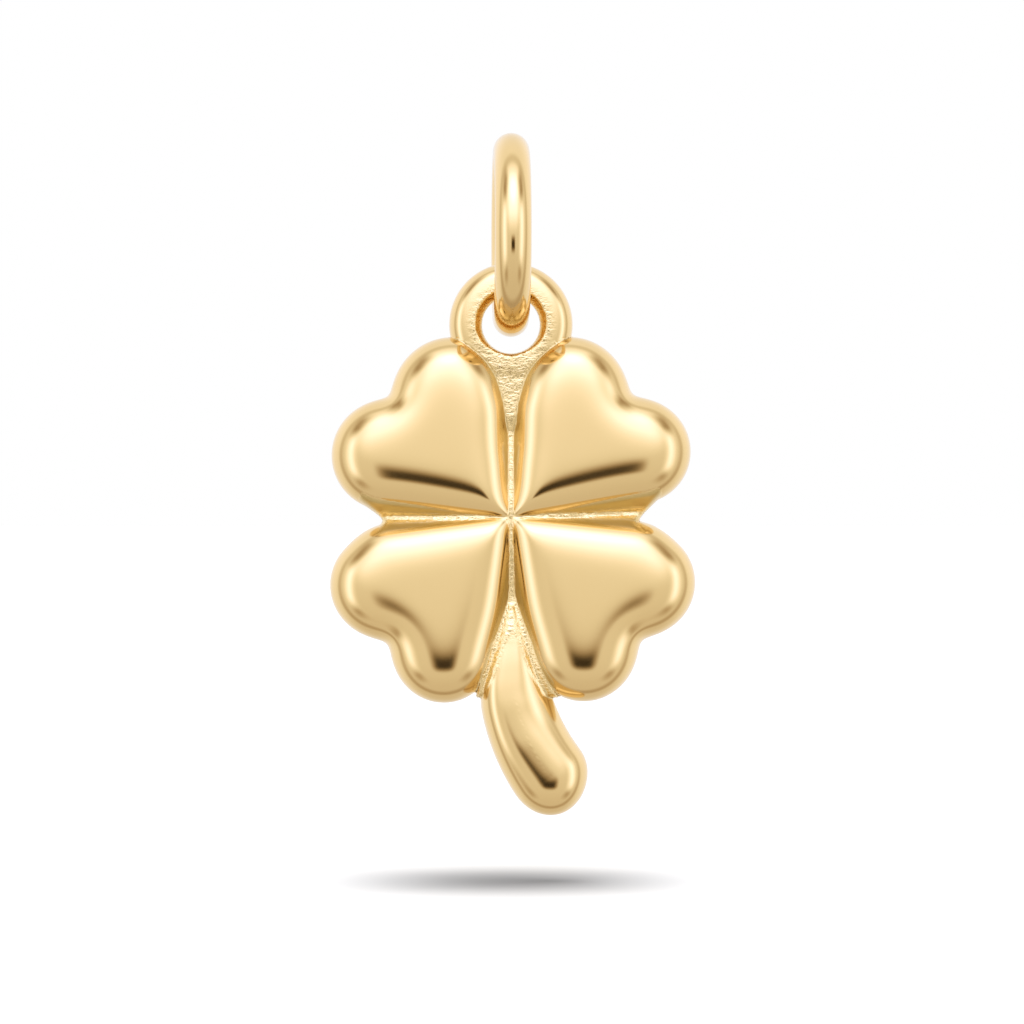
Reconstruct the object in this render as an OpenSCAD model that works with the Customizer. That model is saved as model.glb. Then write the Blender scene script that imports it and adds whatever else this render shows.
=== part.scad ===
// Four leaf clover charm: one casting with four domed heart leaves, a curved stem and an
// eyelet, hanging from a round jump ring. Millimetres, +Z up, the front faces -Y. The origin
// is the top of the jump ring's opening, where a chain or clasp carries it.

/* [Jump ring] */
// Inner diameter of the jump ring
ring_inner_d = 3.65; // [3:0.05:6]
// Diameter of the jump ring's round wire
wire_d = 1; // [0.6:0.05:1.3]
// Turn of the jump ring about the vertical, in degrees
ring_turn = 1.6; // [0:0.2:3]

/* [Eyelet] */
// How much wider the eyelet's hole is than the wire in it
hole_play = 0.6; // [0.4:0.02:1.2]
// Clearance between the wire and the top of the hole
link_gap = 0.12; // [0.04:0.01:0.2]
// Radial width of the eyelet's rim
eyelet_wall = 0.9; // [0.6:0.02:1.1]
// Thickness of the eyelet, front to back
eyelet_t = 1.2; // [0.9:0.05:1.5]
// Rounding of the rim's edges
eyelet_round = 0.36; // [0.1:0.02:0.4]
// Metal between the hole and the lobes on either side of it
shoulder = 0.22; // [0.1:0.02:0.5]

/* [Leaves] */
// Distance from the clover's middle to the lobe centres of the upper leaves
upper_reach = 3.84; // [3.4:0.02:4.4]
// Distance from the clover's middle to the lobe centres of the lower leaves
lower_reach = 4.14; // [3.7:0.02:4.6]
// Radius of the upper leaves' lobes
upper_lobe_r = 1.55; // [1.3:0.01:1.65]
// Radius of the lower leaves' lobes
lower_lobe_r = 1.42; // [1.3:0.01:1.65]
// Angle from a leaf's middle line to each of its lobe centres, in degrees
lobe_split = 18.5; // [16:0.5:21]
// Softening of the notch between two lobes, in degrees round the leaf
notch_soft = 9.5; // [4:0.5:14]
// Height of a leaf's dome in front of the rim line
leaf_rise = 1.15; // [0.8:0.05:1.6]
// Depth of a leaf behind the rim line
leaf_back = 0.65; // [0.5:0.05:1]

/* [Web] */
// Distance from the clover's middle to the web's edge, between two leaves
web_reach = 3.57; // [3.3:0.01:3.7]
// Radius of the rounded notch in the web's edge
web_notch_r = 0.3; // [0.2:0.01:0.5]
// Height of the web in front of the rim line
web_rise = 0.42; // [0.25:0.01:0.6]
// Depth of the web behind the rim line
web_back = 0.42; // [0.25:0.01:0.48]
// Half width of the neck between the web and the eyelet
neck_half_w = 0.9; // [0.6:0.05:1]

/* [Stem] */
// Distance below the clover's middle where the stem starts to rise from the web
stem_root = 1.7; // [1:0.1:2.4]
// Distance below the clover's middle where the stem starts to bend
stem_bend_at = 3.8; // [3.2:0.1:4.4]
// Radius of the stem's bend
stem_bend_r = 5.7; // [4.5:0.1:12]
// Length of the bent stretch, as far as the centre of its round end
stem_bend_len = 3.6; // [3:0.1:4.4]
// Half width of the stem's round end
stem_end_r = 1.1; // [0.8:0.02:1.3]
// Height of the stem's dome in front of the rim line
stem_rise = 1; // [0.7:0.05:1.4]
// Depth of the stem behind the rim line
stem_back = 0.6; // [0.4:0.05:1]

/* [Hidden] */
$fn = 96;

gold = [0.9, 0.74, 0.42];

// Where the wire and the hole meet, as heights
wire_r = wire_d / 2;
ring_r = ring_inner_d / 2;
hole_r = (wire_d + hole_play) / 2;
edge_r = min(eyelet_round, 0.45 * eyelet_wall, 0.45 * eyelet_t);
// Half length of the straight stretch of the hole's wall, between its rounded edges
hole_flat = eyelet_t / 2 - edge_r;
// Rise of the curved wire over that stretch
wire_lift = ring_r - sqrt(ring_r * ring_r - hole_flat * hole_flat);
hole_z = -ring_inner_d + wire_lift + link_gap - hole_r;

// The eyelet sits between the two upper lobes, so its height follows them
diagonal = 45;
lobe_x = upper_reach * sin(diagonal - lobe_split);
lobe_y = upper_reach * cos(diagonal - lobe_split);
lobe_to_hole = hole_r + shoulder + upper_lobe_r;
hole_height = lobe_y + sqrt(lobe_to_hole * lobe_to_hole - lobe_x * lobe_x);
middle_z = hole_z - hole_height;

// Each leaf: the angle of its middle line, its reach and lobe radius, and each lobe's share of
// both, the lobe on the clockwise side first
ANGLE = 0;
REACH = 1;
LOBE_R = 2;
REACH_SHARES = 3;
LOBE_SHARES = 4;
LEAVES = [
    [45.6, upper_reach, upper_lobe_r, [1.04, 0.97], [0.92, 1.03]],
    [135, upper_reach, upper_lobe_r, [0.96, 1], [1.07, 0.98]],
    [225.9, lower_reach, lower_lobe_r, [0.98, 1.01], [1, 0.97]],
    [316.1, lower_reach, lower_lobe_r, [1.01, 0.99], [1.02, 1.01]],
];

// A leaf's contours are copies of its heart outline, shrunk towards a hub on its middle line
hub_share = 0.83;
leaf_sides = 60;
// Share of the outline at each ring, from the hub to the rim
FRONT_RINGS = [0.3, 0.5, 0.66, 0.79, 0.89, 0.96];
BACK_RINGS = [0.97, 0.88, 0.6];
// Powers of the dome: the higher, the flatter its middle and the rounder its edge
front_power = 2.5;
back_power = 7;

// Value between a pair's two, at a place from 0 to 1
function between(pair, place) = pair[0] + (pair[1] - pair[0]) * place;

// Distance from the hub to the heart outline at a signed angle off the leaf's middle line
function heart_radius(angle, row) =
    let (turn = sqrt(angle * angle + notch_soft * notch_soft),
         place = 0.5 + 0.5 * angle / turn,
         reach = row[REACH] * between(row[REACH_SHARES], place),
         lobe_r = row[LOBE_R] * between(row[LOBE_SHARES], place),
         hub = row[REACH] * hub_share,
         side = lobe_split + asin(lobe_r / reach),
         lobe = [reach * cos(lobe_split) - hub, reach * sin(lobe_split)],
         touch = sqrt(reach * reach - lobe_r * lobe_r) * [cos(side), sin(side)] - [hub, 0],
         along = lobe * [cos(turn), sin(turn)])
    turn > atan2(touch.y, touch.x)
        ? hub * sin(side) / sin(min(turn, 180) - side)
        : along + sqrt(lobe_r * lobe_r - lobe * lobe + along * along);

// One contour of a leaf at a share of its outline and a height
function leaf_ring(share, height, row) = [
    for (i = [0:leaf_sides - 1])
        let (angle = 360 * i / leaf_sides,
             radius = share * heart_radius(angle > 180 ? angle - 360 : angle, row))
        [row[REACH] * hub_share + radius * cos(angle), radius * sin(angle), height]
];

function dome(share, rise, power) = rise * sqrt(1 - pow(share, power));

// Faces of a closed solid: one end point, rings of equal size, and another end point
function ring_faces(rings, sides) = concat(
    [for (i = [0:sides - 1]) [0, 1 + (i + 1) % sides, 1 + i]],
    [for (r = [0:rings - 2], i = [0:sides - 1])
        let (a = 1 + r * sides + i, b = 1 + r * sides + (i + 1) % sides)
        [a, b, b + sides]],
    [for (r = [0:rings - 2], i = [0:sides - 1])
        let (a = 1 + r * sides + i, b = 1 + r * sides + (i + 1) % sides)
        [a, b + sides, a + sides]],
    [for (i = [0:sides - 1])
        let (first = 1 + (rings - 1) * sides)
        [first + i, first + (i + 1) % sides, first + sides]]
);

// One domed heart, its tip at the clover's middle and its middle line along +X
module leaf(row) {
    hub = row[REACH] * hub_share;
    rings = concat(
        [for (s = FRONT_RINGS) leaf_ring(s, dome(s, leaf_rise, front_power), row)],
        [leaf_ring(1, 0, row)],
        [for (s = BACK_RINGS) leaf_ring(s, -dome(s, leaf_back, back_power), row)]
    );
    polyhedron(
        points = concat([[hub, 0, leaf_rise]], [for (r = rings) each r], [[hub, 0, -leaf_back]]),
        faces = ring_faces(len(rings), leaf_sides),
        convexity = 6
    );
}

// How far the web reaches past the bottom of its notches, as a share of their radius
horn_share = 0.6;

// Thin web between the leaves, with a rounded notch at each side, and its neck up to the eyelet
module web() {
    web_t = web_rise + web_back;
    neck_top = hole_height - hole_r - eyelet_wall / 2;
    translate([0, 0, -web_back]) {
        difference() {
            cylinder(r = web_reach + web_notch_r * horn_share, h = web_t);
            for (side = [-1, 1]) translate([side * (web_reach + web_notch_r), 0, -web_t])
                cylinder(r = web_notch_r, h = 3 * web_t);
        }
        translate([-neck_half_w, 0, 0]) cube([2 * neck_half_w, neck_top, web_t]);
    }
}

// Centre and heading of the stem at a distance below its root, in the clover's plane
stem_straight = stem_bend_at - stem_root;
stem_len = stem_straight + stem_bend_len;
function stem_turn(s) = max(s - stem_straight, 0) / stem_bend_r * 180 / PI;
function stem_centre(s) =
    [stem_bend_r * (1 - cos(stem_turn(s))),
     -stem_root - min(s, stem_straight) - stem_bend_r * sin(stem_turn(s))];

// Stem sections: share of its length, share of its end's half width, share of its height
STEM_AT = 0;
STEM_WIDTH = 1;
STEM_HEIGHT = 2;
STEM = [
    [0.02, 0.26, 0.42],
    [0.14, 0.42, 0.58],
    [0.28, 0.6, 0.74],
    [0.42, 0.76, 0.87],
    [0.54, 0.88, 0.94],
    [0.64, 0.92, 0.97],
    [0.74, 0.94, 0.99],
    [0.83, 0.96, 1],
    [0.92, 0.98, 1],
    [1, 1, 1],
];
stem_sides = 24;
// Angles of the rings that close the round end
STEM_CLOSING = [20, 38, 55, 72];

function stem_ring(s, half_w, rise, back) =
    let (c = stem_centre(s), t = stem_turn(s))
    [for (i = [0:stem_sides - 1])
        let (a = -360 * i / stem_sides,
             across = half_w * cos(a),
             up = (sin(a) > 0 ? rise : back) * sin(a))
        [c.x + across * cos(t), c.y + across * sin(t), up]];

module stem() {
    body = [for (row = STEM) stem_ring(row[STEM_AT] * stem_len, row[STEM_WIDTH] * stem_end_r,
                                       row[STEM_HEIGHT] * stem_rise, row[STEM_HEIGHT] * stem_back)];
    closing = [for (a = STEM_CLOSING) stem_ring(stem_len + stem_end_r * sin(a), stem_end_r * cos(a),
                                                stem_rise * cos(a), stem_back * cos(a))];
    rings = concat(body, closing);
    first = stem_centre(0);
    last = stem_centre(stem_len + stem_end_r);
    polyhedron(
        points = concat([[first.x, first.y, 0]], [for (r = rings) each r], [[last.x, last.y, 0]]),
        faces = ring_faces(len(rings), stem_sides),
        convexity = 4
    );
}

// Points along an arc, which rounds an edge in section
edge_steps = 5;
function arc(centre, r, from, to) =
    [for (i = [0:edge_steps])
        let (a = from + (to - from) * i / edge_steps)
        centre + r * [cos(a), sin(a)]];

// Disc for the eyelet's rim, with its outer edges rounded
module rim() {
    edge_x = hole_r + eyelet_wall - edge_r;
    rotate_extrude() polygon(concat(
        [[0, -eyelet_t / 2]],
        arc([edge_x, -hole_flat], edge_r, -90, 0),
        arc([edge_x, hole_flat], edge_r, 0, 90),
        [[0, eyelet_t / 2]]
    ));
}

// The eyelet's hole: a round bore that flares where the rim's inner edges are rounded
module bore() {
    mouth_r = hole_r + edge_r;
    past = 2 * eyelet_t;
    rotate_extrude() polygon(concat(
        [[0, -past], [mouth_r, -past]],
        arc([mouth_r, -hole_flat], edge_r, 270, 180),
        arc([mouth_r, hole_flat], edge_r, 180, 90),
        [[mouth_r, past], [0, past]]
    ));
}

module clover() {
    color(gold) translate([0, 0, middle_z]) rotate([90, 0, 0]) difference() {
        union() {
            for (row = LEAVES) rotate(row[ANGLE]) leaf(row);
            web();
            stem();
            translate([0, hole_height, 0]) rim();
        }
        translate([0, hole_height, 0]) bore();
    }
}

// Round wire bent into a ring that hangs edge on to the front
module jump_ring() {
    color(gold) translate([0, 0, -ring_r]) rotate([0, 90, -ring_turn])
        rotate_extrude() translate([ring_r + wire_r, 0]) circle(r = wire_r);
}

jump_ring();
clover();
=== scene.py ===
"""Four leaf clover charm in polished cast gold, hanging from its jump ring over a pale floor."""

from collections.abc import Mapping, Sequence
from dataclasses import dataclass, field
from enum import Enum
import logging
import math

import bmesh
import bpy
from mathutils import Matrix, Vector
import numpy as np


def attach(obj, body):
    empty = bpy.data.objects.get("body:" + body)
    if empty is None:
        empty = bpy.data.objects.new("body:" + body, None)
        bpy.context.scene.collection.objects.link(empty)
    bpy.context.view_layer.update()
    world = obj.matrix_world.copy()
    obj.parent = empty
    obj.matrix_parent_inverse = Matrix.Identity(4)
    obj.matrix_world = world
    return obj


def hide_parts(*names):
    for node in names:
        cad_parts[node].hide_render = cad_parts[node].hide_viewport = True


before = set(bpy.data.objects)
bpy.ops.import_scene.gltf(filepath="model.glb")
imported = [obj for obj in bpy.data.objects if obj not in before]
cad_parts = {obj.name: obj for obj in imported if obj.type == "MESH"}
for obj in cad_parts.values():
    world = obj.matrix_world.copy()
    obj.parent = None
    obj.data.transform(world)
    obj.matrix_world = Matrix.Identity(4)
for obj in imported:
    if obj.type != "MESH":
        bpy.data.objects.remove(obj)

log = logging.getLogger("clover_charm")

Array = np.ndarray
Colour = tuple[float, float, float, float]
MM = 0.001
WHITE: Colour = (1.0, 1.0, 1.0, 1.0)
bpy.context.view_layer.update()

# Where the clover hangs, in millimetres in the frame of the model
HOLE_Z = -4.314
MIDDLE_Z = -9.638
HOLE_HEIGHT = HOLE_Z - MIDDLE_Z

# Inset and squared height of places well outside a form
FAR_OUT = -2.0
FAR_BELOW = -1.0
# Share of a rounded edge's width, outside the form, past which its height falls no further
LEAST_SHARE = -0.6

# What keeps a divisor above zero: a sum or an angle, a length, and a product of lengths
LEAST_SUM = 1e-6
LEAST_LENGTH = 1e-9
LEAST_PRODUCT = 1e-12


class Body(Enum):
    """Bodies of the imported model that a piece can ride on."""

    RING = "jump_ring"
    CLOVER = "clover"


class Slot(Enum):
    """Names of the record's material slots."""

    RING = "ring_gold"
    CLOVER = "clover_gold"


# Small shaping helpers


def smooth_step(low: float, high: float, x: Array) -> Array:
    """Ease from 0 at low to 1 at high.

    Args:
        low: Value where the step starts; it may lie above high.
        high: Value where the step ends.
        x: Values to map.

    Returns:
        The eased values from 0 to 1.
    """
    t = np.clip((x - low) / (high - low), 0.0, 1.0)
    return t * t * (3.0 - 2.0 * t)


def smooth_max(a: Array, b: Array, blend: float) -> Array:
    """Join two fields with a fillet.

    Args:
        a: First field.
        b: Second field.
        blend: Difference between the fields under which they melt together.

    Returns:
        The larger of both, rounded where they meet.
    """
    near = np.maximum(blend - np.abs(a - b), 0.0) / blend
    return np.maximum(a, b) + near * near * blend / 4.0


def smooth_min(a: Array, b: Array, blend: float) -> Array:
    """Cut one field by another with a rounded edge, as smooth_max does for a join."""
    return -smooth_max(-a, -b, blend)


# The casting's relief


@dataclass(frozen=True)
class Valley:
    """Least room between left and right leaves; above them it opens towards the eyelet."""

    # Below zero the leaves' hidden feet run into each other
    heights: tuple[float, ...] = (
        0.0, 0.375, 0.9, 1.57, 1.85, 2.4, 2.7, 3.1, 3.51, 3.79, 4.07, 4.3, 4.49, 4.76, 5.3)
    half_widths: tuple[float, ...] = (
        -0.22, -0.15, -0.07, -0.02, 0.01, 0.03, 0.03, 0.06, 0.17, 0.25, 0.37, 0.52, 0.68, 1.0,
        1.9)

    def half_width(self, v: Array) -> Array:
        """Give the valley's half width at heights above the clover's middle."""
        return np.interp(v, self.heights, self.half_widths)


VALLEY = Valley()


@dataclass(frozen=True)
class Bulge:
    """How far a straight leaf edge swells into its groove, and where along it that ends."""

    size: float
    ends: tuple[float, float]
    # The leaf's inside stays where it is, and so does what lies beyond its tip
    inside: tuple[float, float] = (-0.8, -0.1)
    beyond_tip: tuple[float, float] = (-0.6, 0.0)

    def push(self, x: Array, y: Array, degrees: float, outward: float) -> tuple[Array, Array]:
        """Swell an outline along one of its edges.

        Args:
            x: Places to the right of the clover's middle.
            y: Places above it.
            degrees: The edge's direction from the middle.
            outward: 1 if the outside lies anticlockwise of the edge, or else -1.

        Returns:
            The moved places.
        """
        c, s = math.cos(math.radians(degrees)), math.sin(math.radians(degrees))
        along, out = x * c + y * s, (y * c - x * s) * outward
        share = (self.size * smooth_step(*self.inside, out) * smooth_step(*self.beyond_tip, along)
                 * smooth_step(*self.ends[::-1], along))
        return x - share * outward * s, y + share * outward * c


UPPER_SIDE = Bulge(0.3, (-1.0, 4.4))
UPPER_VALLEY = Bulge(0.2, (1.6, 3.2))
LOWER_SIDE = Bulge(0.24, (3.4, 4.8))
LOWER_VALLEY = Bulge(0.21, (2.2, 4.7))


@dataclass(frozen=True)
class HeartLeaf:
    """One domed heart leaf, its tip at the clover's middle. Lengths in millimetres.

    The angle is that of its middle line, split is the angle from there to each lobe's middle,
    and softness rounds the cleft between the lobes, all in degrees. Reach is the distance from
    the tip to a lobe's middle. The pairs hold the value of the clockwise side first.
    """

    angle: float
    split: float
    softness: float
    reach: tuple[float, float]
    lobe_r: tuple[float, float]
    bulges: tuple[Bulge, Bulge]
    rise: float = 1.145
    edge_width: float = 2.1
    fullness: float = 4.0
    tip_narrowing: float = 0.2
    tip_zone: float = 2.5
    hub_share: float = 0.83
    sides: int = 360
    margin: float = 0.75
    # What makes the soft and the firm distance true beside a straight edge
    soft_scale: float = 0.75
    firm_scale: float = 5.0 * math.pi / 16.0
    # Soft distances over which the firm one takes over, and how many points go at a time
    firm_from: tuple[float, float] = (0.25, 0.6)
    block: int = 8000

    def outline(self) -> Array:
        """Trace the heart.

        Returns:
            The outline's points about the clover's middle, anticlockwise.
        """
        turn = np.linspace(-180.0, 180.0, self.sides, endpoint=False)
        soft = np.sqrt(turn * turn + self.softness**2)
        place = 0.5 + 0.5 * turn / soft
        reach = self.reach[0] + (self.reach[1] - self.reach[0]) * place
        lobe_r = self.lobe_r[0] + (self.lobe_r[1] - self.lobe_r[0]) * place
        hub = sum(self.reach) / 2.0 * self.hub_share
        split = math.radians(self.split)
        side = split + np.arcsin(lobe_r / reach)
        lobe_x, lobe_y = reach * math.cos(split) - hub, reach * math.sin(split)
        tangent = np.sqrt(reach**2 - lobe_r**2)
        touch = np.arctan2(tangent * np.sin(side), tangent * np.cos(side) - hub)
        soft = np.radians(soft)
        along = lobe_x * np.cos(soft) + lobe_y * np.sin(soft)
        room = lobe_r**2 - lobe_x**2 - lobe_y**2 + along**2
        round_part = along + np.sqrt(np.maximum(room, 0.0))
        opening = np.maximum(np.minimum(soft, math.pi) - side, LEAST_SUM)
        straight_part = hub * np.sin(side) / np.sin(opening)
        radius = np.where(soft > touch, straight_part, round_part)
        turn = np.radians(turn)
        x, y = hub + radius * np.cos(turn), radius * np.sin(turn)
        c, s = math.cos(math.radians(self.angle)), math.sin(math.radians(self.angle))
        x, y = x * c - y * s, x * s + y * c
        for bulge, way, far, lobe in zip(self.bulges, (-1.0, 1.0), self.reach, self.lobe_r):
            opening = self.split + math.degrees(math.asin(lobe / far))
            x, y = bulge.push(x, y, self.angle + way * opening, way)
        side = math.copysign(1.0, c)
        return np.stack([side * np.maximum(side * x, VALLEY.half_width(y)), y], axis=1)

    def soft_distance(self, points: Array) -> Array:
        """Measure how far points lie inside the heart, smoothly over its whole inside.

        Args:
            points: Points about the clover's middle.

        Returns:
            A signed distance: the real one near a straight edge, and a softened one in the
            middle, which has no ridge where two edges are equally far.
        """
        outline = self.outline()
        result = np.empty(len(points))
        for start in range(0, len(points), self.block):
            here = points[start:start + self.block]
            dx = outline[:, 0][None] - here[:, :1]
            dy = outline[:, 1][None] - here[:, 1:]
            r = np.sqrt(dx * dx + dy * dy) + LEAST_LENGTH
            dx2, dy2, r2 = np.roll(dx, -1, 1), np.roll(dy, -1, 1), np.roll(r, -1, 1)
            product = r * r2
            turned = dx * dy2 - dy * dx2
            cosine = (dx * dx2 + dy * dy2) / product
            a, b = 1.0 / r, 1.0 / r2
            # Soft: the outline's nearness, cubed, summed over the angle that each side fills
            weight = turned / (product * (1.0 + cosine) ** 2 + LEAST_PRODUCT) / 3.0
            total = (weight * ((a**3 + b**3) * (2.0 + cosine) + 3.0 * a * b * (a + b))).sum(1)
            soft = np.sign(total) * np.abs(total * self.soft_scale) ** (-1.0 / 3.0)
            # Firm: the same with sixth powers, in which the nearest side counts for more
            angle = np.arctan2(turned, dx * dx2 + dy * dy2)
            total = np.maximum((angle * (a**6 + b**6)).sum(1) / 2.0, LEAST_SUM)
            firm = (total / self.firm_scale) ** (-1.0 / 6.0)
            share = smooth_step(*self.firm_from, soft)
            result[start:start + self.block] = soft + share * (firm - soft)
        return result

    def inset(self, u: Array, v: Array) -> Array:
        """Give how far places lie inside the heart, negative outside it.

        Args:
            u: Places to the right of the clover's middle.
            v: Places above it.

        Returns:
            The soft distance at each place.
        """
        outline = self.outline()
        low, high = outline.min(0) - self.margin, outline.max(0) + self.margin
        near = (u > low[0]) & (u < high[0]) & (v > low[1]) & (v < high[1])
        result = np.full(u.shape, FAR_OUT)
        result[near] = self.soft_distance(np.stack([u[near], v[near]], axis=1))
        return result

    def relief(self, u: Array, v: Array, inset: Array) -> Array:
        """Give the squared height of the dome, negative outside the heart.

        Args:
            u: Places to the right of the clover's middle.
            v: Places above it.
            inset: How far each place lies inside the heart.

        Returns:
            The squared height at each place.
        """
        narrowing = self.tip_narrowing * np.exp(-(u * u + v * v) / self.tip_zone**2)
        share = np.clip(inset / (self.edge_width * (1.0 - narrowing)), LEAST_SHARE, 1.0)
        return np.maximum(self.rise**2 * (1.0 - (1.0 - share) ** self.fullness), FAR_BELOW)


@dataclass(frozen=True)
class Web:
    """Thin cast web between the leaves, sunk to a V along each groove, and its neck.

    Lengths in millimetres. The pairs called rises and drops give the heights above the clover's
    middle between which that form sets in.
    """

    # The V along each groove: its edges, walls and floor
    edge_height: float = 0.5
    neck_edge_drop: float = 0.09
    edge_drops: tuple[float, float] = (1.7, 2.7)
    slope: float = 1.2
    wall_depth: float = 0.22
    floor: float = 0.12
    floor_half_w: float = 0.055
    groove_ease: float = 0.08
    lower_sink: float = 0.03
    # The plate's outline, which reaches less far below lower_from
    upper_radius: float = 4.3
    upper_ease: float = 0.1
    lower_radius: float = 3.9
    lower_from: float = -1.0
    edge: float = 0.08
    # The notches in its sides: upper left, lower left, upper right and lower right
    notch_at: tuple[float, float] = (3.575, -0.12)
    notch_degs: tuple[float, float, float, float] = (33.0, 33.0, 43.0, 33.0)
    notch_round: float = 0.12
    # The foot under the stem's root, and the neck up to the eyelet
    foot_low: float = -5.03
    foot_sides: tuple[float, float] = (-0.97, 1.32)
    neck_spare: float = 0.35
    neck_starts: float = 2.0
    neck_stops_below_hole: float = 0.4
    # Rising floors: in the upper groove, its neck, and the bed that ramps up to the stem
    groove_rise: float = 0.4
    groove_rises: tuple[float, float] = (0.1, 0.8)
    neck_rise: float = 0.57
    neck_rises: tuple[float, float] = (1.9, 2.8)
    bed_height: float = 0.45
    bed_rises: tuple[float, float] = (-0.3, -1.3)
    ramp_height: float = 0.59
    ramp_rises: tuple[float, float] = (-2.0, -3.4)
    shoulder_drop: float = 0.14
    shoulder_drops: tuple[float, float] = (-3.5, -4.4)
    floor_ease: float = 0.06
    # How far a floor rises over the V where it starts to count as bed, and where it is all bed
    bed_over_groove: tuple[float, float] = (-0.06, 0.02)

    def inside(self, u: Array, v: Array) -> Array:
        """Measure how far places lie inside the web's own outline.

        Args:
            u: Places to the right of the clover's middle.
            v: Places above it.

        Returns:
            The distance to the outline, negative outside it.
        """
        above = v > self.notch_at[1]
        slope = np.radians(np.choose(2 * (u > 0.0) + ~above, self.notch_degs))
        c, s = np.cos(slope), np.sin(slope)
        corner = self.notch_at[0] - self.notch_round * c / s
        notch = np.sqrt((v - self.notch_at[1]) ** 2 + self.notch_round**2) * c
        plate = notch + (corner - np.abs(u)) * s
        plate = smooth_min(plate, self.upper_radius - np.hypot(u, v), self.upper_ease)
        plate = np.where(v < self.lower_from, self.lower_radius - np.hypot(u, v), plate)
        neck_top = HOLE_HEIGHT - self.neck_stops_below_hole
        neck = np.minimum(VALLEY.half_width(v) + self.neck_spare - np.abs(u),
                          np.minimum(v, neck_top - v))
        foot = np.minimum(np.minimum(u - self.foot_sides[0], self.foot_sides[1] - u),
                          np.minimum(-v, v - self.foot_low))
        return np.where(v > self.neck_starts, neck, np.maximum(plate, foot))

    def relief(self, u: Array, v: Array, inset: Array,
               off_middle: Array) -> tuple[Array, Array]:
        """Give the web's squared height and where its bed lies.

        Args:
            u: Places to the right of the clover's middle.
            v: Places above it.
            inset: How far each place lies inside the nearest leaf or the stem.
            off_middle: How far each place lies from the middle line of its groove.

        Returns:
            The squared height at each place, and 1 on the bed between the grooves' walls.
        """
        level = inset + np.maximum(self.floor_half_w - off_middle, 0.0)
        depth = smooth_min(level, np.full(u.shape, self.wall_depth), self.groove_ease)
        edge = self.edge_height - self.neck_edge_drop * smooth_step(*self.edge_drops, v)
        groove = edge + self.slope * depth
        height = smooth_max(groove, np.full(u.shape, self.floor), self.groove_ease)
        neck = self.groove_rise * smooth_step(*self.groove_rises, v)
        neck += (self.neck_rise - self.groove_rise) * smooth_step(*self.neck_rises, v)
        height = smooth_max(height, neck, self.floor_ease)
        ramp = self.bed_height + (self.ramp_height - self.bed_height) * smooth_step(
            *self.ramp_rises, v)
        ramp = (ramp * smooth_step(*self.bed_rises, v)
                - self.shoulder_drop * smooth_step(*self.shoulder_drops, v))
        height = smooth_max(height, ramp, self.floor_ease)
        bed = smooth_step(*self.bed_over_groove, np.maximum(neck, ramp) - groove)
        return height**2 * np.tanh(self.inside(u, v) / self.edge), bed


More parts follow.
